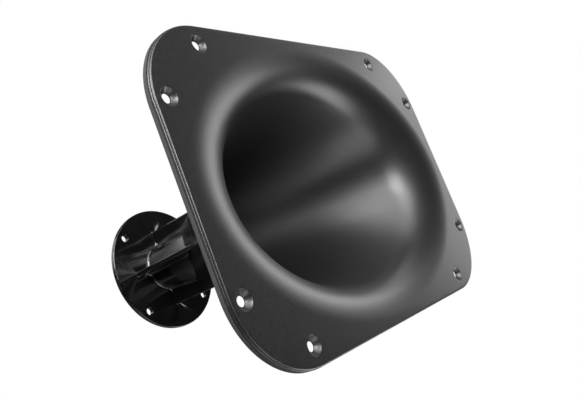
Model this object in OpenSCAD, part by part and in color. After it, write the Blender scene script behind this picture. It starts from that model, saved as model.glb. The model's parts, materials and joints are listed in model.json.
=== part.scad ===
// Constant-directivity horn flare for a 1.4 inch compression driver.
// The mouth faces -Y, the driver flange is at +Y, +Z is up.
// The origin is the centre of the mouth flange's mounting face.
// Every sub-part is drawn along its own depth axis (local +Z, mouth to driver)
// and turned into place by placed().

/* [Mouth flange] */
// Width of the mouth flange
flange_w = 345; // [335:1:360]
// Height of the mouth flange
flange_h = 237; // [230:1:250]
// Corner radius of the mouth flange
corner_r = 59; // [50:1:62]
// Thickness of the moulded flange plate
plate_t = 3.9; // [3.5:0.1:5]
// Bevel round the plate's front edge
front_bevel = 1.2; // [0.6:0.1:1.4]
// How far the front edge is set back from the outline
front_step = 0.3; // [0:0.1:0.5]
// Width of the shadow groove in the plate's edge
groove_w = 0.6; // [0.4:0.1:0.8]
// Depth of the shadow groove, and of the bevel behind it
groove_d = 0.9; // [0.5:0.1:1.2]
// Width between the four side bolts
side_bolts_w = 320; // [316:1:322]
// Height between the four side bolts
side_bolts_h = 129; // [120:1:132]
// Width between the four top and bottom bolts
top_bolts_w = 230; // [220:1:232]
// Height between the four top and bottom bolts
top_bolts_h = 209; // [206:1:210]
// Diameter of the mouth bolt holes
bolt_hole_d = 6.8; // [5:0.1:7]
// Diameter of the countersinks at the front face
countersink_d = 13.3; // [11:0.1:14]
// Depth of the countersinks
countersink_depth = 3.1; // [2:0.1:3.5]

/* [Bell] */
// Width of the elliptical mouth, at the front face
mouth_w = 328; // [320:1:330]
// Height of the elliptical mouth, at the front face
mouth_h = 224; // [216:1:226]
// Depth at which the side walls run out in the neck
side_run_out = 165; // [150:1:180]
// Depth at which the top and bottom walls run out, and the bell's tongue begins
top_run_out = 200; // [180:1:202]
// Angle between the axis and the side walls
side_angle = 33; // [28:0.5:36]
// Angle between the axis and the top and bottom walls
top_angle = 19.2; // [15:0.1:22]
// Wall thickness of the bell
wall_t = 3; // [2.5:0.1:4]

/* [Neck] */
// Diameter of the throat at the driver
throat_d = 35.6; // [34:0.1:38]
// Length of the straight throat land at the driver
throat_land = 12; // [8:1:20]
// Inside diameter where the side walls run out
bell_end_d = 45; // [43:0.5:46]
// Length of the socket in which the bell's tongue sits
socket_len = 10; // [8:1:12]
// Diameter of the socket
socket_d = 42.3; // [41.9:0.1:42.6]
// Clearance between tongue and socket, all round
joint_gap = 0.15; // [0.05:0.05:0.3]
// Overall depth of the horn, from front face to driver gasket
horn_depth = 230; // [220:1:260]

/* [Ribs] */
// Distance of the ribs' outer edges from the axis
rib_reach = 37; // [34:0.5:44]
// Thickness of the ribs
rib_t = 4; // [3:0.5:5]
// Clearance between the ribs' front ends and the bell
rib_gap = 0.3; // [0.1:0.1:0.5]

/* [Driver flange] */
// Diameter of the driver flange
driver_flange_d = 118; // [114:1:130]
// Thickness of the driver flange
driver_flange_t = 3.2; // [3:0.1:6]
// Bevel round the driver flange's front edge
rim_bevel = 0.8; // [0.4:0.1:1.2]
// Bolt circle of the driver flange
driver_pcd = 101.6; // [98:0.1:102]
// Diameter of the driver bolt holes
driver_hole_d = 7; // [6.4:0.1:8]
// Fillet between the neck and the driver flange
root_fillet = 3; // [1:0.5:4]

/* [Seals] */
// Thickness of the foam strip behind the mouth flange
mouth_gasket_t = 3.4; // [2:0.1:5]
// Width of the foam strip, from the flange's outline
mouth_gasket_w = 7; // [5:0.5:9]
// Thickness of the gasket on the driver flange
driver_gasket_t = 0.8; // [0.5:0.1:2]
// Thickness of the ring that seals the neck joint
neck_seal_t = 1.2; // [0.8:0.1:2]

/* [Hidden] */
$fn = 96;

moulded_black = "#2b2b2d";
gloss_black = "#1c1c1e";
foam_grey = "#4a4a4d";
rubber_black = "#161617";

// Depths along the axis, with the back of the flange plate at 0
face_z = -plate_t;
joint_z = face_z + top_run_out;
socket_z = joint_z + socket_len;
driver_z = face_z + horn_depth;
disc_back_z = driver_z - driver_gasket_t;
disc_z = disc_back_z - driver_flange_t;

// Inside radius of the neck at depth s behind the front face
neck_taper = (bell_end_d - throat_d) / 2
    / (disc_back_z - throat_land - face_z - side_run_out);
function bore_r(s) = bell_end_d / 2 - neck_taper * (s - side_run_out);

// Radius of the rolled lip that takes a wall of angle a from the half opening end_r
// at depth s to the mouth
function lip_r(mouth_r, a, s, end_r) =
    (mouth_r - end_r - s * tan(a)) / (cos(a) - (1 - sin(a)) * tan(a));

// Half opening at distance s behind the tangent plane of a lip of radius r:
// a quarter round near the mouth, then a straight wall of angle a
function flare(s, mouth_r, r, a) =
    s < r * (1 - sin(a))
        ? mouth_r - sqrt(r * r - (r - s) * (r - s))
        : mouth_r - r * cos(a) - (s - r * (1 - sin(a))) * tan(a);

side_lip_r = lip_r(mouth_w / 2, side_angle, side_run_out, bell_end_d / 2);
top_lip_r = lip_r(mouth_h / 2, top_angle, top_run_out, bore_r(top_run_out));

function inner_w(s) = flare(s, mouth_w / 2, side_lip_r, side_angle);
function inner_h(s) = flare(s, mouth_h / 2, top_lip_r, top_angle);
function outer_w(s) = flare(s - wall_t, mouth_w / 2, side_lip_r - wall_t, side_angle);
function outer_h(s) = flare(s - wall_t, mouth_h / 2, top_lip_r - wall_t, top_angle);

neck_outer_r = outer_w(side_run_out);
neck_root_r = throat_d / 2 + wall_t;
neck_end = disc_z - root_fillet - face_z;
function neck_r(s) = neck_outer_r
    + (neck_root_r - neck_outer_r) * (s - side_run_out) / (neck_end - side_run_out);

// Distance from the axis to an ellipse, in the direction t
function ellipse_r(w, h, t) = 1 / sqrt(pow(cos(t) / max(w, 1), 2) + pow(sin(t) / max(h, 1), 2));

// The sound path and the outside at depth s in the direction t: the elliptical flare,
// and behind the joint whichever is wider, the flare or the round neck
function path_r(s, t) = max(s > side_run_out ? bore_r(s) : 0, ellipse_r(inner_w(s), inner_h(s), t));
function skin_r(s, t) = max(s > side_run_out ? neck_r(s) : 0, ellipse_r(outer_w(s), outer_h(s), t));

bell_sides = 72;       // facets round the bell
bell_steps = 18;       // rings along each surface
lip_overlap = 3;       // how far the bell's lip runs into the flange plate
tongue_r = socket_d / 2 - joint_gap;
tip_s = top_run_out + socket_len;

// Depths of the rings, close together where the lip curves most
inner_depths = [for (i = [0 : bell_steps]) side_run_out * pow(i / bell_steps, 2)];
outer_depths = [for (i = [bell_steps : -1 : 0])
    plate_t + (side_run_out - plate_t) * pow(i / bell_steps, 1.6)];
// Depths between the ends of the side walls and of the top and bottom walls
saddle_steps = 10;
saddle_depths = [for (i = [1 : saddle_steps])
    side_run_out + (top_run_out - side_run_out) * i / saddle_steps];

angles = [for (i = [0 : bell_sides - 1]) 360 * i / bell_sides];

// Rings of points, each [x, y, depth]
function ring(s, radii) = [for (i = [0 : bell_sides - 1])
    [radii[i] * cos(angles[i]), radii[i] * sin(angles[i]), s]];
function path_ring(s) = ring(s, [for (t = angles) path_r(s, t)]);
function skin_ring(s) = ring(s, [for (t = angles) skin_r(s, t)]);
function round_ring(s, r) = ring(s, [for (t = angles) r]);
function lip_ring(s) = ring(s, [for (t = angles)
    ellipse_r(mouth_w / 2 + lip_overlap, mouth_h / 2 + lip_overlap, t)]);

bell_rings = concat(
    [for (s = inner_depths) path_ring(s)],
    [for (s = saddle_depths) path_ring(s)],
    [round_ring(tip_s, bore_r(tip_s)), round_ring(tip_s, tongue_r),
     round_ring(top_run_out, tongue_r)],
    [for (i = [saddle_steps - 1 : -1 : 0]) skin_ring(saddle_depths[i])],
    [for (s = outer_depths) skin_ring(s)],
    [lip_ring(plate_t), lip_ring(0)]
);

// Turns the depth axis (+Z) to +Y
module placed() {
    rotate([-90, 0, 0]) children();
}

function ellipse_points(rx, ry, n) =
    [for (i = [0 : n - 1]) let (t = 360 * i / n, r = ellipse_r(rx, ry, t)) [r * cos(t), r * sin(t)]];

// A closed band of rings, from the last ring back to the first
module ring_band(rings) {
    count = len(rings);
    sides = bell_sides;
    points = [for (r = rings, p = r) p];
    faces = [for (k = [0 : count - 1], i = [0 : sides - 1])
        let (n = (k + 1) % count, j = (i + 1) % sides)
        [k * sides + i, k * sides + j, n * sides + j, n * sides + i]];
    polyhedron(points = points, faces = [for (f = faces, t = [0, 1])
        t == 0 ? [f[0], f[1], f[2]] : [f[0], f[2], f[3]]]);
}

module rounded_rect(w, h, r) {
    square([w - 2 * r, h], center = true);
    square([w, h - 2 * r], center = true);
    for (x = [-1, 1], y = [-1, 1])
        translate([x * (w / 2 - r), y * (h / 2 - r)]) circle(r);
}

module mouth_bolt_places() {
    for (x = [-1, 1], y = [-1, 1]) {
        translate([x * side_bolts_w / 2, y * side_bolts_h / 2, 0]) children();
        translate([x * top_bolts_w / 2, y * top_bolts_h / 2, 0]) children();
    }
}

module driver_bolt_places() {
    for (a = [45 : 90 : 315])
        rotate([0, 0, a]) translate([driver_pcd / 2, 0, 0]) children();
}

// Section of the plate's edge: x is measured from the outline, y is the depth
module edge_section(inset) {
    groove_end = front_bevel + groove_w;
    polygon([
        [inset, 0], [-front_step - front_bevel, 0], [-front_step, front_bevel],
        [-groove_d, front_bevel], [-groove_d, groove_end], [0, groove_end + groove_d],
        [0, plate_t], [inset, plate_t]
    ]);
}

// Rounded plate with a stepped edge: four corners, four sides and the middle
module flange_plate() {
    cx = flange_w / 2 - corner_r;
    cy = flange_h / 2 - corner_r;
    inset = -corner_r / 2;
    for (q = [0 : 3]) {
        sx = (q == 0 || q == 3) ? 1 : -1;
        sy = (q < 2) ? 1 : -1;
        translate([sx * cx, sy * cy, 0]) rotate([0, 0, 90 * q])
            rotate_extrude(angle = 90) translate([corner_r, 0]) edge_section(inset);
    }
    for (side = [-1, 1]) {
        rotate([90, 0, side * 90 + 90]) translate([flange_w / 2, 0, -cy])
            linear_extrude(2 * cy) edge_section(inset);
        rotate([90, 0, side * 90]) translate([flange_h / 2, 0, -cx])
            linear_extrude(2 * cx) edge_section(inset);
    }
    linear_extrude(plate_t)
        rounded_rect(flange_w + 1.5 * inset, flange_h + 1.5 * inset, corner_r + 0.75 * inset);
}

module horn_bell() {
    color(moulded_black) placed() translate([0, 0, face_z]) {
        ring_band(bell_rings);
        difference() {
            flange_plate();
            translate([0, 0, -1]) linear_extrude(plate_t + 2)
                polygon(ellipse_points((mouth_w + lip_overlap) / 2,
                    (mouth_h + lip_overlap) / 2, bell_sides));
            mouth_bolt_places() {
                translate([0, 0, -1]) cylinder(h = plate_t + 2, d = bolt_hole_d);
                cylinder(h = countersink_depth, d1 = countersink_d, d2 = bolt_hole_d);
            }
        }
    }
}

// Half section of the neck tube and driver flange: x is the radius, y the depth
module neck_section() {
    fillet_x = neck_root_r + root_fillet;
    fillet_y = disc_z - root_fillet;
    seal_back_z = socket_z + neck_seal_t;
    polygon(concat(
        [[throat_d / 2, disc_back_z], [throat_d / 2, disc_back_z - throat_land],
         [bore_r(tip_s + neck_seal_t), seal_back_z], [socket_d / 2, seal_back_z],
         [socket_d / 2, joint_z], [neck_r(top_run_out), joint_z]],
        [for (a = [180 : -15 : 90])
            [fillet_x + root_fillet * cos(a), fillet_y + root_fillet * sin(a)]],
        [[driver_flange_d / 2 - rim_bevel, disc_z],
         [driver_flange_d / 2, disc_z + rim_bevel],
         [driver_flange_d / 2, disc_back_z]]
    ));
}

// A flat rib from the driver flange, forward over the bell's back to the point where
// the wall of angle a reaches the rib's outer edge. The wall runs out at radius r
// and depth z.
module rib(r, z, a) {
    front_z = z - (rib_reach - r) / tan(a);
    rotate([90, 0, 0]) translate([0, 0, -rib_t / 2]) linear_extrude(rib_t)
        polygon([
            [neck_r(top_run_out) - 0.8, joint_z], [neck_r(top_run_out) + rib_gap, joint_z],
            [r + rib_gap, z - 0.5], [rib_reach, front_z + rib_gap / tan(a)],
            [rib_reach, disc_z + 0.5], [neck_root_r - 1, disc_z + 0.5]
        ]);
}

module throat_neck() {
    color(gloss_black) placed() difference() {
        union() {
            rotate_extrude() neck_section();
            for (side = [0, 180]) {
                rotate([0, 0, side])
                    rib(outer_w(side_run_out), face_z + side_run_out, side_angle);
                rotate([0, 0, side + 90])
                    rib(outer_h(top_run_out - 1), joint_z - 1, top_angle);
            }
        }
        driver_bolt_places() translate([0, 0, disc_z - 1])
            cylinder(h = driver_flange_t + 2, d = driver_hole_d);
    }
}

// Flat ring between the end of the bell's tongue and the floor of the socket
module neck_seal() {
    color(rubber_black) placed() translate([0, 0, socket_z]) difference() {
        cylinder(h = neck_seal_t, d = socket_d);
        translate([0, 0, -1]) cylinder(h = neck_seal_t + 2, r = bore_r(tip_s));
    }
}

// Foam strip along the flange's outline, between the plate and the baffle
module mouth_gasket() {
    color(foam_grey) placed()
        linear_extrude(mouth_gasket_t) difference() {
            rounded_rect(flange_w, flange_h, corner_r);
            rounded_rect(flange_w - 2 * mouth_gasket_w, flange_h - 2 * mouth_gasket_w,
                corner_r - mouth_gasket_w);
        }
}

module driver_gasket() {
    color(rubber_black) placed() translate([0, 0, disc_back_z]) difference() {
        cylinder(h = driver_gasket_t, d = driver_flange_d);
        translate([0, 0, -1]) cylinder(h = driver_gasket_t + 2, d = throat_d);
        driver_bolt_places() translate([0, 0, -1])
            cylinder(h = driver_gasket_t + 2, d = driver_hole_d);
    }
}

horn_bell();
throat_neck();
neck_seal();
mouth_gasket();
driver_gasket();
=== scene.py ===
import json
import math

import bmesh
import bpy
import numpy as np
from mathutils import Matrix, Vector
from mathutils.geometry import delaunay_2d_cdt


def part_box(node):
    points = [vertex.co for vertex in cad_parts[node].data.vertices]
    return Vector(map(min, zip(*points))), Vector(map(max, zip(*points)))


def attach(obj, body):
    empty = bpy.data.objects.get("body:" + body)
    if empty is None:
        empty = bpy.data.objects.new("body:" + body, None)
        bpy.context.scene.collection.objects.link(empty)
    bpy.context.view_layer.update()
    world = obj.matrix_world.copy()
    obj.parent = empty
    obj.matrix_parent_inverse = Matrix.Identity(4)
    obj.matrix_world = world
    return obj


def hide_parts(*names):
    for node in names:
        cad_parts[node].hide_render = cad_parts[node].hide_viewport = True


# Looks of a moulded horn flare. The mouth faces -Y, the driver flange is at +Y.
# Shapes are worked out in millimetres: "depth" is the distance behind the front
# face along the horn's axis, and (x, z) is the place in a plane across the axis.

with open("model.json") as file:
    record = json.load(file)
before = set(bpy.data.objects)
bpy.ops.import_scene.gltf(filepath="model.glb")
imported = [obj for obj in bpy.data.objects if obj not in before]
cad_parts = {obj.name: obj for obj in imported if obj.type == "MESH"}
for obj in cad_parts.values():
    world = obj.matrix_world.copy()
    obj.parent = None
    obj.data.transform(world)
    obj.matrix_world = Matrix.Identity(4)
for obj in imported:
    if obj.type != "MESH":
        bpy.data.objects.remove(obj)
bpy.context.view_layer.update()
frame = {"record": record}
MM = 0.001


# ---------------------------------------------------------------- sizes

def mount(name):
    return next(m for m in frame["record"]["mounts"] if m["name"] == name)


def node_span(node, axis):
    """Lowest and highest coordinate of a CAD node along one axis, in millimetres."""
    low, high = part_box(node)
    return low[axis] / MM, high[axis] / MM


FRONT = node_span("horn_bell", 1)[0]            # front face of the flange, along Y
HALF_W = node_span("horn_bell", 0)[1]           # half the flange's width
HALF_H = node_span("horn_bell", 2)[1]           # half the flange's height
PLATE = node_span("mouth_gasket", 1)[0] - FRONT     # thickness of the flange plate
SEAT = node_span("mouth_gasket", 1)[1] - FRONT      # depth of the mounting face
DISC_BACK = node_span("throat_neck", 1)[1] - FRONT
DRIVER_FACE = node_span("driver_gasket", 1)[1] - FRONT
DISC_R = node_span("driver_gasket", 0)[1]
SEAL_START = node_span("neck_seal", 1)[0] - FRONT
SEAL_END = node_span("neck_seal", 1)[1] - FRONT
SOCKET_R = node_span("neck_seal", 0)[1]

CORNER_R = 59.0
STRIP_W = 7.0                                   # width of the foam sealing strip
BOLT_R = mount("mouth_side_bolts")["dims"]["hole_r_mm"]
COUNTERSINK_R = 6.65
COUNTERSINK_DEPTH = 3.1
MOUTH_HALF_W = 164.0
MOUTH_HALF_H = 112.0
SIDE_RUN_OUT = 165.0                            # depth where the side walls end
SIDE_RUN_OUT_R = 22.5
SOCKET_DEPTH = 10.0
TOP_RUN_OUT = SEAL_START - SOCKET_DEPTH          # depth where the top and bottom walls end
SIDE_ANGLE = math.radians(33.0)
TOP_ANGLE = math.radians(19.2)
WALL = 3.0
BOND_GAP = 0.15                                 # room for the adhesive
TONGUE_R = SOCKET_R - BOND_GAP
THROAT_R = mount("throat")["dims"]["r_mm"]
THROAT_LAND = 12.0
DISC_T = 3.2
RIM_BAND = 2.4                                  # flat strip kept inside the disc's edge
DISC_FRONT = DISC_BACK - DISC_T
DRIVER_BOLT_R = mount("driver_bolts")["dims"]["hole_r_mm"]
DRIVER_PCD = mount("driver_bolts")["dims"]["pcd_mm"]
RIB_REACH = 37.0
RIB_HALF_T = 2.0
RIB_SPREAD = 0.15                               # share of the root fillet on a rib's side
RIB_FILLET = 5.0
ROOT_FILLET = 3.0
RIB_TIP = 0.9                                   # round along the rib's edge
RIB_CLEAR = 0.4                                 # gap between a rib and the bell's back
RIB_SUNK = 0.8                                  # how far a rib's foot lies in the neck
NECK_ROOT_R = THROAT_R + WALL
SEAM = 0.02                                     # gap between a seal and its seat

# How many points go round each kind of circle
RIM_POINTS, BORE_POINTS, SCREW_POINTS, HOLE_POINTS = 192, 144, 48, 40
SHARP = math.radians(32)                        # edges sharper than this stay hard


def bolt_places(name):
    """The four corners of a rectangular bolt pattern, as (x, z)."""
    dims = mount(name)["dims"]
    x, z = dims["spacing_x_mm"] / 2, dims["spacing_y_mm"] / 2
    return [(sx * x, sz * z) for sx in (-1, 1) for sz in (-1, 1)]


MOUTH_BOLTS = bolt_places("mouth_side_bolts") + bolt_places("mouth_top_bolts")
DRIVER_BOLTS = [
    (DRIVER_PCD / 2 * math.cos(a), DRIVER_PCD / 2 * math.sin(a))
    for a in np.radians([45, 135, 225, 315])
]


# ---------------------------------------------------------------- curves

def circle(radius, count, centre=(0.0, 0.0)):
    """Points round a circle: centre + radius * (cos t, sin t)."""
    t = np.linspace(0, 2 * np.pi, count, endpoint=False)
    return np.stack([centre[0] + radius * np.cos(t), centre[1] + radius * np.sin(t)], 1)


def ring(radii):
    """Points at the given distances from the axis, at even angles."""
    t = np.linspace(0, 2 * np.pi, len(radii), endpoint=False)
    return np.stack([radii * np.cos(t), radii * np.sin(t)], 1)


def rounded_outline(inset, per_corner=28, per_side=10):
    """The flange's outline moved inwards: four quarter circles joined by straight sides."""
    radius = CORNER_R - inset
    cx, cz = HALF_W - CORNER_R, HALF_H - CORNER_R
    t = np.linspace(0, np.pi / 2, per_corner)
    corners = []
    for turn, (sx, sz) in enumerate([(1, 1), (-1, 1), (-1, -1), (1, -1)]):
        a = t + turn * np.pi / 2
        corners.append(np.stack([sx * cx + radius * np.cos(a), sz * cz + radius * np.sin(a)], 1))
    parts = []
    for here, ahead in zip(corners, corners[1:] + corners[:1]):
        share = np.linspace(0, 1, per_side + 1)[1:-1, None]
        parts += [here, here[-1] * (1 - share) + ahead[0] * share]
    return np.concatenate(parts)


def quarter_round(start, end, steps=6):
    """A quarter ellipse from start to end that leaves start along the first coordinate."""
    t = np.linspace(0, np.pi / 2, steps + 1)
    (x0, y0), (x1, y1) = start, end
    return [(x0 + (x1 - x0) * math.sin(a), y1 + (y0 - y1) * math.cos(a)) for a in t]


# ---------------------------------------------------------------- shells

class Shell:
    """A closed surface put together from walls and flat faces that share their edges."""

    def __init__(self):
        self.points = []
        self.faces = []
        self.count = 0

    def add(self, points, faces):
        self.points.append(np.asarray(points, float))
        self.faces += [[self.count + i for i in face] for face in faces]
        self.count += len(points)

    def grid(self, rows, closed=True):
        """A wall through rows of points: rows is (rows, points in a row, 3)."""
        rows = np.asarray(rows, float)
        m, n, _ = rows.shape
        i, j = np.meshgrid(np.arange(m - 1), np.arange(n if closed else n - 1), indexing="ij")
        after = (j + 1) % n
        quads = np.stack([i * n + j, i * n + after, (i + 1) * n + after, (i + 1) * n + j], -1)
        self.add(rows.reshape(-1, 3), quads.reshape(-1, 4).tolist())

    def wall(self, outlines, depths):
        """A wall through closed outlines (x, z), each at its own depth."""
        self.grid([at_depth(o, d) for o, d in zip(outlines, depths)])

    def flat(self, depth, loops):
        """A flat face at one depth, inside the first loop and outside the others."""
        flat_points = [Vector(p) for loop in loops for p in loop]
        edges, start = [], 0
        for loop in loops:
            n = len(loop)
            edges += [(start + k, start + (k + 1) % n) for k in range(n)]
            start += n
        found, _, faces, _, _, _ = delaunay_2d_cdt(flat_points, edges, [], 0, 1e-7)
        found = np.array([(p.x, p.y) for p in found])
        faces = np.array([f for f in faces])
        middle = found[faces].mean(1)
        inside = np.zeros(len(middle), int)
        for loop in loops:
            inside += crossings(middle, loop)
        kept = faces[inside % 2 == 1]
        self.add(at_depth(found, depth), kept.tolist())

    def piece(self, name, material, slot, *nodes):
        """Makes the object: shared edges welded, faces outwards, sharp edges kept."""
        mesh = bpy.data.meshes.new(name)
        points = np.concatenate(self.points) * MM
        mesh.from_pydata(points.tolist(), [], self.faces)
        bm = bmesh.new()
        bm.from_mesh(mesh)
        bmesh.ops.remove_doubles(bm, verts=bm.verts, dist=2e-6)
        bmesh.ops.dissolve_degenerate(bm, dist=1e-7, edges=bm.edges)
        bmesh.ops.recalc_face_normals(bm, faces=bm.faces)
        open_edges = sum(1 for e in bm.edges if len(e.link_faces) != 2)
        if open_edges:
            print(f"{name}: {open_edges} open edges")
        bm.to_mesh(mesh)
        bm.free()
        normals = np.empty(3 * len(mesh.polygons))
        mesh.polygons.foreach_get("normal", normals)
        across = np.abs(normals[1::3]) > 0.999999      # faces square to the axis stay flat
        mesh.polygons.foreach_set("use_smooth", ~across)
        mesh.set_sharp_from_angle(angle=SHARP)
        mesh.materials.append(material)
        piece = bpy.data.objects.new(name, mesh)
        bpy.context.scene.collection.objects.link(piece)
        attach(piece, "root")
        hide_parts(*nodes)


def at_depth(outline, depth):
    """Lifts (x, z) points to (x, y, z) at a depth behind the front face."""
    outline = np.asarray(outline, float)
    return np.stack([outline[:, 0], np.full(len(outline), FRONT + depth), outline[:, 1]], 1)


def crossings(points, loop):
    """How often a ray along +x from each point crosses the loop."""
    x, z = points[:, 0, None], points[:, 1, None]
    ax, az = np.asarray(loop).T
    bx, bz = np.roll(ax, -1), np.roll(az, -1)
    spans = (az > z) != (bz > z)
    with np.errstate(divide="ignore", invalid="ignore"):
        cut = ax + (z - az) * (bx - ax) / (bz - az)
    return (spans & (x < cut)).sum(1)


# ---------------------------------------------------------------- bell

NECK_TAPER = (SIDE_RUN_OUT_R - THROAT_R) / (DISC_BACK - THROAT_LAND - SIDE_RUN_OUT)
AROUND = np.linspace(0, 2 * np.pi, 288, endpoint=False)
EDGE_COLLAR = 3.4        # flat strip kept inside the flange's edge
FRONT_BEVEL = 1.2
FRONT_STEP = 0.3
GROOVE_W = 0.6
GROOVE_D = 0.9


def neck_bore(depth):
    """Radius of the sound path in the neck: a slight cone that ends in a straight land."""
    return max(SIDE_RUN_OUT_R - NECK_TAPER * (depth - SIDE_RUN_OUT), THROAT_R)


def lip_radius(mouth_half, angle, depth, end):
    """Radius of the rolled lip that carries a wall of this angle from depth to the mouth."""
    rise = mouth_half - end - depth * math.tan(angle)
    return rise / (math.cos(angle) - (1 - math.sin(angle)) * math.tan(angle))


SIDE_LIP = lip_radius(MOUTH_HALF_W, SIDE_ANGLE, SIDE_RUN_OUT, SIDE_RUN_OUT_R)
TOP_LIP = lip_radius(MOUTH_HALF_H, TOP_ANGLE, TOP_RUN_OUT, neck_bore(TOP_RUN_OUT))


def flare(depth, mouth_half, radius, angle):
    """Half opening at a depth: a quarter round behind the mouth, then a straight wall."""
    turn = radius * (1 - math.sin(angle))
    if depth < turn:
        return mouth_half - math.sqrt(max(radius ** 2 - (radius - depth) ** 2, 0.0))
    return mouth_half - radius * math.cos(angle) - (depth - turn) * math.tan(angle)


def ellipse_r(half_w, half_h, t):
    """Distance from the axis to an ellipse in the direction t."""
    return 1 / np.sqrt((np.cos(t) / max(half_w, 1.0)) ** 2 + (np.sin(t) / max(half_h, 1.0)) ** 2)


def path_r(depth, t):
    """The inside: an elliptical flare, which meets the round neck in a saddle-shaped line."""
    flared = ellipse_r(flare(depth, MOUTH_HALF_W, SIDE_LIP, SIDE_ANGLE),
                       flare(depth, MOUTH_HALF_H, TOP_LIP, TOP_ANGLE), t)
    return np.maximum(flared, neck_bore(depth) if depth > SIDE_RUN_OUT else 0.0)


def flare_skin(depth, t):
    """The outside of the elliptical flare, one wall thickness away."""
    inner = depth - WALL
    return ellipse_r(flare(inner, MOUTH_HALF_W, SIDE_LIP - WALL, SIDE_ANGLE),
                     flare(inner, MOUTH_HALF_H, TOP_LIP - WALL, TOP_ANGLE), t)


NECK_START_R = float(flare_skin(SIDE_RUN_OUT, 0.0))


def neck_r(depth):
    """Outside of the neck: a straight taper down to the driver flange."""
    share = (depth - SIDE_RUN_OUT) / (DISC_FRONT - ROOT_FILLET - SIDE_RUN_OUT)
    return NECK_START_R + (NECK_ROOT_R - NECK_START_R) * share


def skin_r(depth, t):
    """The outside: whichever is wider, the flare or the neck."""
    return np.maximum(flare_skin(depth, t), neck_r(depth) if depth > SIDE_RUN_OUT else 0.0)


def flange_edge():
    """The plate's edge as (inset, depth): round front bead, groove, second bead, side."""
    groove_end = FRONT_BEVEL + GROOVE_W
    return (
        [(EDGE_COLLAR, 0.0)]
        + quarter_round((FRONT_STEP + FRONT_BEVEL, 0.0), (FRONT_STEP, FRONT_BEVEL), 7)
        + [(GROOVE_D, FRONT_BEVEL + 0.05), (GROOVE_D, groove_end)]
        + quarter_round((GROOVE_D, groove_end), (0.0, groove_end + GROOVE_D), 6)[1:]
        + [(0.0, PLATE - 0.25), (0.25, PLATE), (EDGE_COLLAR, PLATE)]
    )


def countersink(shell, place):
    """A screw hole: a small round, the cone, the bore and the back edge."""
    profile = (
        [(COUNTERSINK_R + 0.8, 0.0)]
        + quarter_round((COUNTERSINK_R + 0.2, 0.0), (COUNTERSINK_R - 0.1, 0.25), 3)
        + [(BOLT_R, COUNTERSINK_DEPTH), (BOLT_R, PLATE)]
    )
    shell.wall([circle(r, SCREW_POINTS, place) for r, _ in profile], [d for _, d in profile])
    return circle(profile[0][0], SCREW_POINTS, place), circle(BOLT_R, SCREW_POINTS, place)


def bell():
    """Flange plate and bell in one moulding, with the tongue that enters the neck."""
    shell = Shell()
    edge = flange_edge()
    shell.wall([rounded_outline(inset) for inset, _ in edge], [d for _, d in edge])

    rim = ring(ellipse_r(MOUTH_HALF_W + 1.2, MOUTH_HALF_H + 1.2, AROUND))
    even = np.ones(len(AROUND))
    tip = TOP_RUN_OUT + SOCKET_DEPTH
    rows = [(0.0, rim)]
    rows += [(d, ring(path_r(d, AROUND))) for d in SIDE_RUN_OUT * np.linspace(0, 1, 90) ** 2]
    saddle = np.linspace(SIDE_RUN_OUT, TOP_RUN_OUT, 41)
    rows += [(d, ring(path_r(d, AROUND))) for d in saddle[1:]]
    rows += [(tip, ring(even * neck_bore(tip))), (tip, ring(even * TONGUE_R)),
             (TOP_RUN_OUT, ring(even * TONGUE_R))]
    rows += [(d, ring(skin_r(d, AROUND))) for d in saddle[::-1]]
    outside = PLATE + (SIDE_RUN_OUT - PLATE) * np.linspace(1, 0, 70) ** 1.8
    rows += [(d, ring(skin_r(d, AROUND))) for d in outside[1:]]
    shell.wall([outline for _, outline in rows], [d for d, _ in rows])

    fronts, backs = zip(*[countersink(shell, place) for place in MOUTH_BOLTS])
    shell.flat(0.0, [rounded_outline(EDGE_COLLAR), rim, *fronts])
    shell.flat(PLATE, [rounded_outline(EDGE_COLLAR), rows[-1][1], *backs])
    return shell


# ---------------------------------------------------------------- neck

FOOT_STEPS, SIDE_STEPS, TIP_STEPS = 7, 5, 5


def rib_profile(apex, curve_r, half_t, reach, fillet, tip):
    """Half of a rib's outline across the axis, from its foot to the middle of its edge.

    The body under the rib is a circle of radius curve_r that reaches out to apex.
    A fillet touches that circle and the rib's side, then come the side, a round
    of radius tip and the flat edge. Returns (out, across) pairs."""
    centre = apex - curve_r
    out = centre + math.sqrt((curve_r + fillet) ** 2 - (half_t + fillet) ** 2)
    foot_angle = math.atan2(half_t + fillet, out - centre)
    a = np.linspace(np.pi + foot_angle, 1.5 * np.pi, FOOT_STEPS)
    foot = np.stack([out + fillet * np.cos(a), half_t + fillet + fillet * np.sin(a)], 1)
    share = np.linspace(0, 1, SIDE_STEPS)[1:]
    side = np.stack([out + (reach - tip - out) * share, np.full(len(share), half_t)], 1)
    b = np.linspace(np.pi / 2, 0, TIP_STEPS)[1:]
    edge = np.stack([reach - tip + tip * np.cos(b), half_t - tip + tip * np.sin(b)], 1)
    return np.concatenate([foot, side, edge, [[reach, 0.0]]])


def whole_rib(half):
    """The rib's outline from one foot, over its edge, to the other foot."""
    other = half[::-1][1:] * [1, -1]
    return np.concatenate([half, other])


def turned(points, quarter):
    """(out, across) turned to (x, z) for the rib at quarter turns from +x."""
    out, across = points[:, 0], points[:, 1]
    return [np.stack(p, 1) for p in (
        (out, across), (-across, out), (-out, -across), (across, -out))][quarter]


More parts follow.
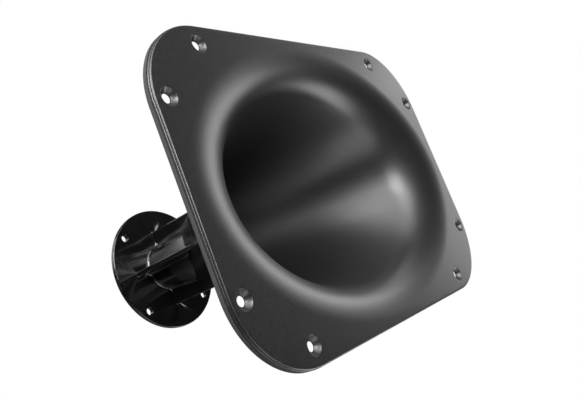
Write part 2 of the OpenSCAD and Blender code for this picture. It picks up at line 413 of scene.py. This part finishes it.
def rib_at(depth, quarter):
    """One rib at a depth, and the line along which it sits in the body under it."""
    flare_out = 0.0
    if depth > DISC_FRONT - ROOT_FILLET:      # the fillet that spreads onto the flange
        left = DISC_FRONT - depth
        flare_out = ROOT_FILLET - math.sqrt(ROOT_FILLET ** 2 - (ROOT_FILLET - left) ** 2)
    sink = 0.15 * min(max((TOP_RUN_OUT - depth) / 2, 0.0), 1.0)
    body = neck_r(max(depth, SIDE_RUN_OUT)) + flare_out - sink
    spread = flare_out * RIB_SPREAD
    half = rib_profile(body, body, RIB_HALF_T + spread, RIB_REACH + spread, RIB_FILLET, RIB_TIP)
    rib = whole_rib(half)
    radius = np.hypot(rib[:, 0], rib[:, 1])
    skin = skin_r(depth, np.arctan2(rib[:, 1], rib[:, 0]) + quarter * np.pi / 2)
    if depth < TOP_RUN_OUT:
        rib = rib * (np.maximum(radius, skin - RIB_CLEAR) / radius)[:, None]
        radius = np.hypot(rib[:, 0], rib[:, 1])
    return rib, rib * ((skin - RIB_SUNK) / radius)[:, None]


def nose_depth(quarter):
    """The depth at which the bell's back covers the rib."""
    low, high = 60.0, TOP_RUN_OUT
    for _ in range(40):
        middle = (low + high) / 2
        if skin_r(middle, quarter * np.pi / 2) > RIB_REACH + RIB_CLEAR:
            low = middle
        else:
            high = middle
    return high


def arc_between(start, end, count=22):
    """Points between two points at the same height round the axis, both left out."""
    a = math.atan2(start[1], start[0])
    turn = (math.atan2(end[1], end[0]) - a) % (2 * np.pi)
    t = a + turn * np.linspace(0, 1, count)[1:-1]
    radius = np.linspace(np.hypot(*start), np.hypot(*end), count)[1:-1]
    return np.stack([radius * np.cos(t), radius * np.sin(t)], 1)


def neck_outline(depth, pick):
    """Round the neck at a depth: each rib's own line (0) or the line under it (1)."""
    ribs = [turned(rib_at(depth, q)[pick], q)[::-1] for q in range(4)]
    parts = []
    for quarter in range(4):
        after = ribs[(quarter + 1) % 4]
        parts += [ribs[quarter], arc_between(ribs[quarter][-1], after[0])]
    return np.concatenate(parts)


def neck():
    """Neck tube, four ribs and the driver flange in one moulding."""
    shell = Shell()
    fillet_depths = DISC_FRONT - ROOT_FILLET * (1 - np.cos(np.linspace(np.pi / 2, 0, 8)))
    straight = np.linspace(TOP_RUN_OUT, DISC_FRONT - ROOT_FILLET, 12)[:-1]
    depths = np.concatenate([straight, fillet_depths])
    bodies = [neck_outline(depth, 0) for depth in depths]
    shell.wall(bodies, depths)
    rim = front_rim(shell)
    shell.flat(TOP_RUN_OUT, [rim, circle(SOCKET_R, BORE_POINTS)])
    for quarter in range(4):
        rib_front(shell, quarter)

    # Driver flange: front face, rim, bolt holes and back
    rim_profile = [(DISC_R - RIM_BAND, 0.0)]
    rim_profile += quarter_round((DISC_R - 0.8, 0.0), (DISC_R, 0.8), 5)
    rim_profile += [(DISC_R, DISC_T - 0.2), (DISC_R - 0.2, DISC_T), (DISC_R - RIM_BAND, DISC_T)]
    shell.wall([circle(r, RIM_POINTS) for r, _ in rim_profile],
               [DISC_FRONT + d for _, d in rim_profile])
    holes = []
    for place in DRIVER_BOLTS:
        profile = [(DRIVER_BOLT_R + 0.7, 0.0)]
        profile += quarter_round((DRIVER_BOLT_R + 0.25, 0.0), (DRIVER_BOLT_R, 0.25), 3)
        profile += [(DRIVER_BOLT_R, DISC_T)]
        shell.wall([circle(r, HOLE_POINTS, place) for r, _ in profile],
                   [DISC_FRONT + d for _, d in profile])
        holes.append([circle(profile[0][0], HOLE_POINTS, place),
                      circle(DRIVER_BOLT_R, HOLE_POINTS, place)])
    disc_rim = circle(DISC_R - RIM_BAND, RIM_POINTS)
    shell.flat(DISC_FRONT, [disc_rim, bodies[-1], *[h[0] for h in holes]])
    shell.flat(DISC_BACK, [disc_rim, circle(THROAT_R, BORE_POINTS), *[h[1] for h in holes]])

    # Sound path and socket
    bore = [(THROAT_R, DISC_BACK), (THROAT_R, DISC_BACK - THROAT_LAND),
            (neck_bore(SEAL_END), SEAL_END), (SOCKET_R, SEAL_END), (SOCKET_R, TOP_RUN_OUT)]
    shell.wall([circle(r, BORE_POINTS) for r, _ in bore], [d for _, d in bore])
    return shell


def front_rim(shell):
    """Outline of the socket's front face, which dips under the front of each rib."""
    parts = []
    for quarter in range(4):
        rib, under = [turned(p, quarter)[::-1] for p in rib_at(TOP_RUN_OUT, quarter)]
        after = turned(rib_at(TOP_RUN_OUT, (quarter + 1) % 4)[0], (quarter + 1) % 4)[::-1]
        parts += [rib[:1], under, rib[-1:], arc_between(rib[-1], after[0])]
    return np.concatenate(parts)


def rib_front(shell, quarter):
    """The front of a rib, which lies along the bell's back and runs out on it."""
    nose = nose_depth(quarter)
    depths = nose + (TOP_RUN_OUT - nose) * np.linspace(0, 1, 64) ** 1.2
    over, under = [], []
    for depth in depths:
        upper, lower = [turned(p, quarter) for p in rib_at(depth, quarter)]
        lower = np.concatenate([upper[:1], lower, upper[-1:]])
        over.append(at_depth(upper, depth))
        under.append(at_depth(lower, depth))
    under[0] = np.concatenate([over[0][:1], over[0], over[0][-1:]])
    shell.grid(over, closed=False)
    shell.grid(under, closed=False)


# ---------------------------------------------------------------- seals

def mouth_gasket():
    """Foam strip along the flange's outline, slightly rounded where it was die-cut."""
    shell = Shell()
    front = PLATE + SEAM
    edge = [(EDGE_COLLAR, front), (0.3, front), (0.1, PLATE + 0.2),
            (0.1, SEAT - 0.5), (0.3, SEAT - 0.12), (0.7, SEAT), (EDGE_COLLAR, SEAT),
            (STRIP_W - 0.5, SEAT), (STRIP_W, SEAT - 0.4), (STRIP_W, front), (EDGE_COLLAR, front)]
    shell.wall([rounded_outline(inset) for inset, _ in edge], [d for _, d in edge])
    return shell


def driver_gasket():
    """Thin die-cut ring with the driver's bolt holes."""
    shell = Shell()
    front = DISC_BACK + SEAM
    edge = [(DISC_R - 2.0, front), (DISC_R - 0.15, front), (DISC_R - 0.15, DRIVER_FACE - 0.15),
            (DISC_R - 0.3, DRIVER_FACE), (DISC_R - 2.0, DRIVER_FACE)]
    shell.wall([circle(r, RIM_POINTS) for r, _ in edge], [d for _, d in edge])
    shell.wall([circle(THROAT_R, BORE_POINTS)] * 2, [front, DRIVER_FACE])
    holes = []
    for place in DRIVER_BOLTS:
        holes.append(circle(DRIVER_BOLT_R, HOLE_POINTS, place))
        shell.wall([holes[-1]] * 2, [front, DRIVER_FACE])
    for depth in (front, DRIVER_FACE):
        shell.flat(depth, [circle(DISC_R - 2.0, RIM_POINTS), circle(THROAT_R, BORE_POINTS), *holes])
    return shell


def neck_seal():
    """Ring between tongue and socket, with softened edges."""
    shell = Shell()
    inner = neck_bore(SEAL_START) + 0.05
    outer = SOCKET_R - 0.05
    start, end, soft = SEAL_START + SEAM, SEAL_END - SEAM, 0.2
    section = [(inner + soft, start), (outer - soft, start), (outer, start + soft),
               (outer, end - soft), (outer - soft, end), (inner + soft, end),
               (inner, end - soft), (inner, start + soft), (inner + soft, start)]
    shell.wall([circle(r, BORE_POINTS) for r, _ in section], [d for _, d in section])
    return shell


# ---------------------------------------------------------------- materials

def linear(colour):
    """An sRGB hex colour as linear red, green, blue and alpha."""
    parts = [int(colour[i:i + 2], 16) / 255 for i in (1, 3, 5)]
    return [p / 12.92 if p <= 0.04045 else ((p + 0.055) / 1.055) ** 2.4 for p in parts] + [1.0]


def add(material, kind, links=(), **settings):
    """Adds a node, sets its inputs or properties by name, and links (output, input) pairs."""
    tree = material.node_tree
    node = tree.nodes.new(kind)
    for name, value in settings.items():
        socket = name.replace("_", " ")
        named = next((s for s in node.inputs if s.name.lower() == socket.lower()), None)
        if named is not None and not hasattr(node, name):
            named.default_value = value
        else:
            setattr(node, name, value)
    for output, name in links:
        tree.links.new(output, node.inputs[name])
    return node


def empty_material(name):
    material = bpy.data.materials.new(name)
    material.use_nodes = True
    material.node_tree.nodes.clear()
    return material


def finish_material(material, shader):
    out = add(material, "ShaderNodeOutputMaterial", [(shader.outputs[0], "Surface")])
    out.is_active_output = True
    return material


def two_tone(material, share, dark, light):
    """A colour that runs from dark to light with share, which goes from 0 to 1."""
    ramp = add(material, "ShaderNodeValToRGB", [(share, "Fac")])
    ramp.color_ramp.elements[0].color = linear(dark)
    ramp.color_ramp.elements[1].color = linear(light)
    return ramp


def spark_textured_abs():
    """Black ABS moulded against a spark-eroded tool: a fine grain that scatters light. The
    core side of the tool is polished, so faces that look backwards are glossy."""
    m = empty_material("spark_textured_black_abs")
    coords = add(m, "ShaderNodeTexCoord")
    place = coords.outputs["Object"]
    facing = add(m, "ShaderNodeSeparateXYZ", [(coords.outputs["Normal"], "Vector")]).outputs["Y"]
    grain = add(m, "ShaderNodeTexNoise", [(place, "Vector")],
                Scale=600.0, Detail=3.0, Roughness=0.6)
    cloud = add(m, "ShaderNodeTexNoise", [(place, "Vector")], Scale=9.0, Detail=2.0)
    colour = two_tone(m, grain.outputs["Fac"], "#080809", "#181819")
    colour.color_ramp.elements[0].position = 0.3
    colour.color_ramp.elements[1].position = 0.7
    front_rough = add(m, "ShaderNodeMapRange", [(cloud.outputs["Fac"], "Value")],
                      To_Min=0.34, To_Max=0.38)
    rough = add(m, "ShaderNodeMapRange", [
        (facing, "Value"), (front_rough.outputs["Result"], "To Min")],
        From_Min=0.03, From_Max=0.15, To_Max=0.16)
    depth = add(m, "ShaderNodeMapRange", [(facing, "Value")],
                From_Min=0.03, From_Max=0.15, To_Min=0.3, To_Max=0.03)
    bump = add(m, "ShaderNodeBump", [
        (grain.outputs["Fac"], "Height"), (depth.outputs["Result"], "Strength")], Distance=0.00012)
    shader = add(m, "ShaderNodeBsdfPrincipled", [
        (colour.outputs["Color"], "Base Color"), (rough.outputs["Result"], "Roughness"),
        (bump.outputs["Normal"], "Normal")], IOR=1.53)
    return finish_material(m, shader)


def polished_abs():
    """Black ABS from a polished tool: glossy, with faint sink marks."""
    m = empty_material("polished_black_abs")
    place = add(m, "ShaderNodeTexCoord").outputs["Object"]
    sink = add(m, "ShaderNodeTexNoise", [(place, "Vector")], Scale=60.0, Detail=1.0)
    haze = add(m, "ShaderNodeTexNoise", [(place, "Vector")], Scale=240.0, Detail=3.0)
    colour = two_tone(m, haze.outputs["Fac"], "#060607", "#0c0c0d")
    rough = add(m, "ShaderNodeMapRange", [(haze.outputs["Fac"], "Value")], To_Min=0.08, To_Max=0.13)
    bump = add(m, "ShaderNodeBump", [(sink.outputs["Fac"], "Height")],
               Strength=0.05, Distance=0.0004)
    shader = add(m, "ShaderNodeBsdfPrincipled", [
        (colour.outputs["Color"], "Base Color"), (rough.outputs["Result"], "Roughness"),
        (bump.outputs["Normal"], "Normal")], IOR=1.53)
    return finish_material(m, shader)


def closed_cell_foam():
    """Dark grey closed-cell foam, die-cut: matte, with pores about half a millimetre wide."""
    m = empty_material("closed_cell_foam")
    place = add(m, "ShaderNodeTexCoord").outputs["Object"]
    pores = add(m, "ShaderNodeTexVoronoi", [(place, "Vector")], Scale=1600.0)
    colour = two_tone(m, pores.outputs["Distance"], "#222223", "#303032")
    bump = add(m, "ShaderNodeBump", [(pores.outputs["Distance"], "Height")],
               Strength=0.5, Distance=0.0002)
    shader = add(m, "ShaderNodeBsdfPrincipled", [
        (colour.outputs["Color"], "Base Color"), (bump.outputs["Normal"], "Normal")],
        Roughness=0.85)
    return finish_material(m, shader)


def black_rubber():
    """Plain black EPDM rubber sheet: dull, with a faint talc bloom."""
    m = empty_material("black_epdm_rubber")
    place = add(m, "ShaderNodeTexCoord").outputs["Object"]
    bloom = add(m, "ShaderNodeTexNoise", [(place, "Vector")], Scale=180.0, Detail=4.0)
    colour = two_tone(m, bloom.outputs["Fac"], "#161617", "#262628")
    shader = add(m, "ShaderNodeBsdfPrincipled", [(colour.outputs["Color"], "Base Color")],
                 Roughness=0.7)
    return finish_material(m, shader)


def opal_acrylic():
    """White opal acrylic of a studio light table: evenly white to the eye, matte to the lamps."""
    m = empty_material("opal_acrylic")
    place = add(m, "ShaderNodeTexCoord").outputs["Object"]
    haze = add(m, "ShaderNodeTexNoise", [(place, "Vector")], Scale=3.0, Detail=2.0)
    colour = two_tone(m, haze.outputs["Fac"], "#b4b4b4", "#bababa")
    table = add(m, "ShaderNodeBsdfDiffuse", [(colour.outputs["Color"], "Color")])
    glow = add(m, "ShaderNodeEmission", Color=(1, 1, 1, 1), Strength=1.0)
    eye = add(m, "ShaderNodeLightPath").outputs["Is Camera Ray"]
    shader = add(m, "ShaderNodeMixShader", [(eye, "Fac")])
    m.node_tree.links.new(table.outputs[0], shader.inputs[1])
    m.node_tree.links.new(glow.outputs[0], shader.inputs[2])
    return finish_material(m, shader)


# ---------------------------------------------------------------- pieces

matte_black = spark_textured_abs()
gloss_black = polished_abs()
foam = closed_cell_foam()
rubber = black_rubber()

bell().piece("bell_moulding", matte_black, "matte_black_moulding", "horn_bell")
neck().piece("neck_moulding", gloss_black, "gloss_black_moulding", "throat_neck")
neck_seal().piece("joint_seal", rubber, "black_rubber", "neck_seal")
mouth_gasket().piece("baffle_gasket", foam, "grey_foam", "mouth_gasket")
driver_gasket().piece("throat_gasket", rubber, "black_rubber", "driver_gasket")


# ---------------------------------------------------------------- camera

CAMERA_PLACE = (-0.44508, -0.26116, -0.07576)
CAMERA_TURN = (99.8825, 21.0476, -50.8882)     # degrees about X, Y, Z
camera_data = bpy.data.cameras.new("camera")
camera_data.sensor_width = 36.0
camera_data.lens = 41.385
camera_data.shift_x = 0.00962
camera_data.shift_y = -0.01769
camera_data.clip_start = 0.01
camera = bpy.data.objects.new("camera", camera_data)
camera.location = CAMERA_PLACE
camera.rotation_euler = [math.radians(a) for a in CAMERA_TURN]
bpy.context.scene.collection.objects.link(camera)
bpy.context.scene.camera = camera


# ---------------------------------------------------------------- light

HORN_MIDDLE = Vector((0, 0.08, 0))
LIGHT_DISTANCE = 1.5


def softbox(name, towards, distance, size, watts):
    """A square studio light in the direction towards, aimed at the middle of the horn."""
    data = bpy.data.lights.new(name, "AREA")
    data.shape = "SQUARE"
    data.size = size
    data.energy = watts
    light = bpy.data.objects.new(name, data)
    light.location = HORN_MIDDLE + Vector(towards).normalized() * distance
    light.rotation_euler = (-Vector(towards)).to_track_quat("-Z", "Y").to_euler()
    bpy.context.scene.collection.objects.link(light)


def bearing(azimuth, elevation):
    """Direction as seen from the horn: azimuth 0 is straight out of the mouth, 90 is +x."""
    a, e = math.radians(azimuth), math.radians(elevation)
    return math.sin(a) * math.cos(e), -math.cos(a) * math.cos(e), math.sin(e)


LIGHTS = (              # name, azimuth, elevation, size in metres, watts
    ("side_high", -75, 36, 0.7, 36.0), ("key_low", -30, 18, 0.6, 24.0),
    ("key_top", -60, 54, 0.7, 12.0), ("key_high", -15, 36, 0.7, 13.0),
    ("under_right", 60, -50, 0.8, 11.5), ("front_top", 0, 60, 0.8, 9.1),
    ("right_low", 80, 5, 0.8, 7.2), ("under_left", -31, -54, 0.9, 7.1),
    ("right_high", 80, 30, 0.8, 3.8), ("back_left", 240, 5, 0.8, 1.2),
    ("back_high", 200, 30, 0.8, 5.0))
for name, azimuth, elevation, size, watts in LIGHTS:
    softbox(name, bearing(azimuth, elevation), LIGHT_DISTANCE, size, watts)

world = bpy.data.worlds.new("studio")
world.use_nodes = True
bpy.context.scene.world = world
tree = world.node_tree
tree.nodes.clear()
seen = tree.nodes.new("ShaderNodeBackground")
seen.inputs["Color"].default_value = (1, 1, 1, 1)
room = tree.nodes.new("ShaderNodeBackground")
room.inputs["Color"].default_value = (1, 1, 1, 1)
room.inputs["Strength"].default_value = 0.04
path = tree.nodes.new("ShaderNodeLightPath")
mix = tree.nodes.new("ShaderNodeMixShader")
output = tree.nodes.new("ShaderNodeOutputWorld")
tree.links.new(path.outputs["Is Camera Ray"], mix.inputs[0])
tree.links.new(room.outputs[0], mix.inputs[1])
tree.links.new(seen.outputs[0], mix.inputs[2])
tree.links.new(mix.outputs[0], output.inputs["Surface"])
bpy.context.scene.view_settings.view_transform = "Standard"

FLOOR_Z = -1.5
FLOOR_REACH = 6.0
floor_mesh = bpy.data.meshes.new("floor")
floor_mesh.from_pydata([(x * FLOOR_REACH, y * FLOOR_REACH, FLOOR_Z)
                        for x, y in ((-1, -1), (1, -1), (1, 1), (-1, 1))], [], [(0, 1, 2, 3)])
floor = bpy.data.objects.new("floor", floor_mesh)
bpy.context.scene.collection.objects.link(floor)
floor_mesh.materials.append(opal_acrylic())
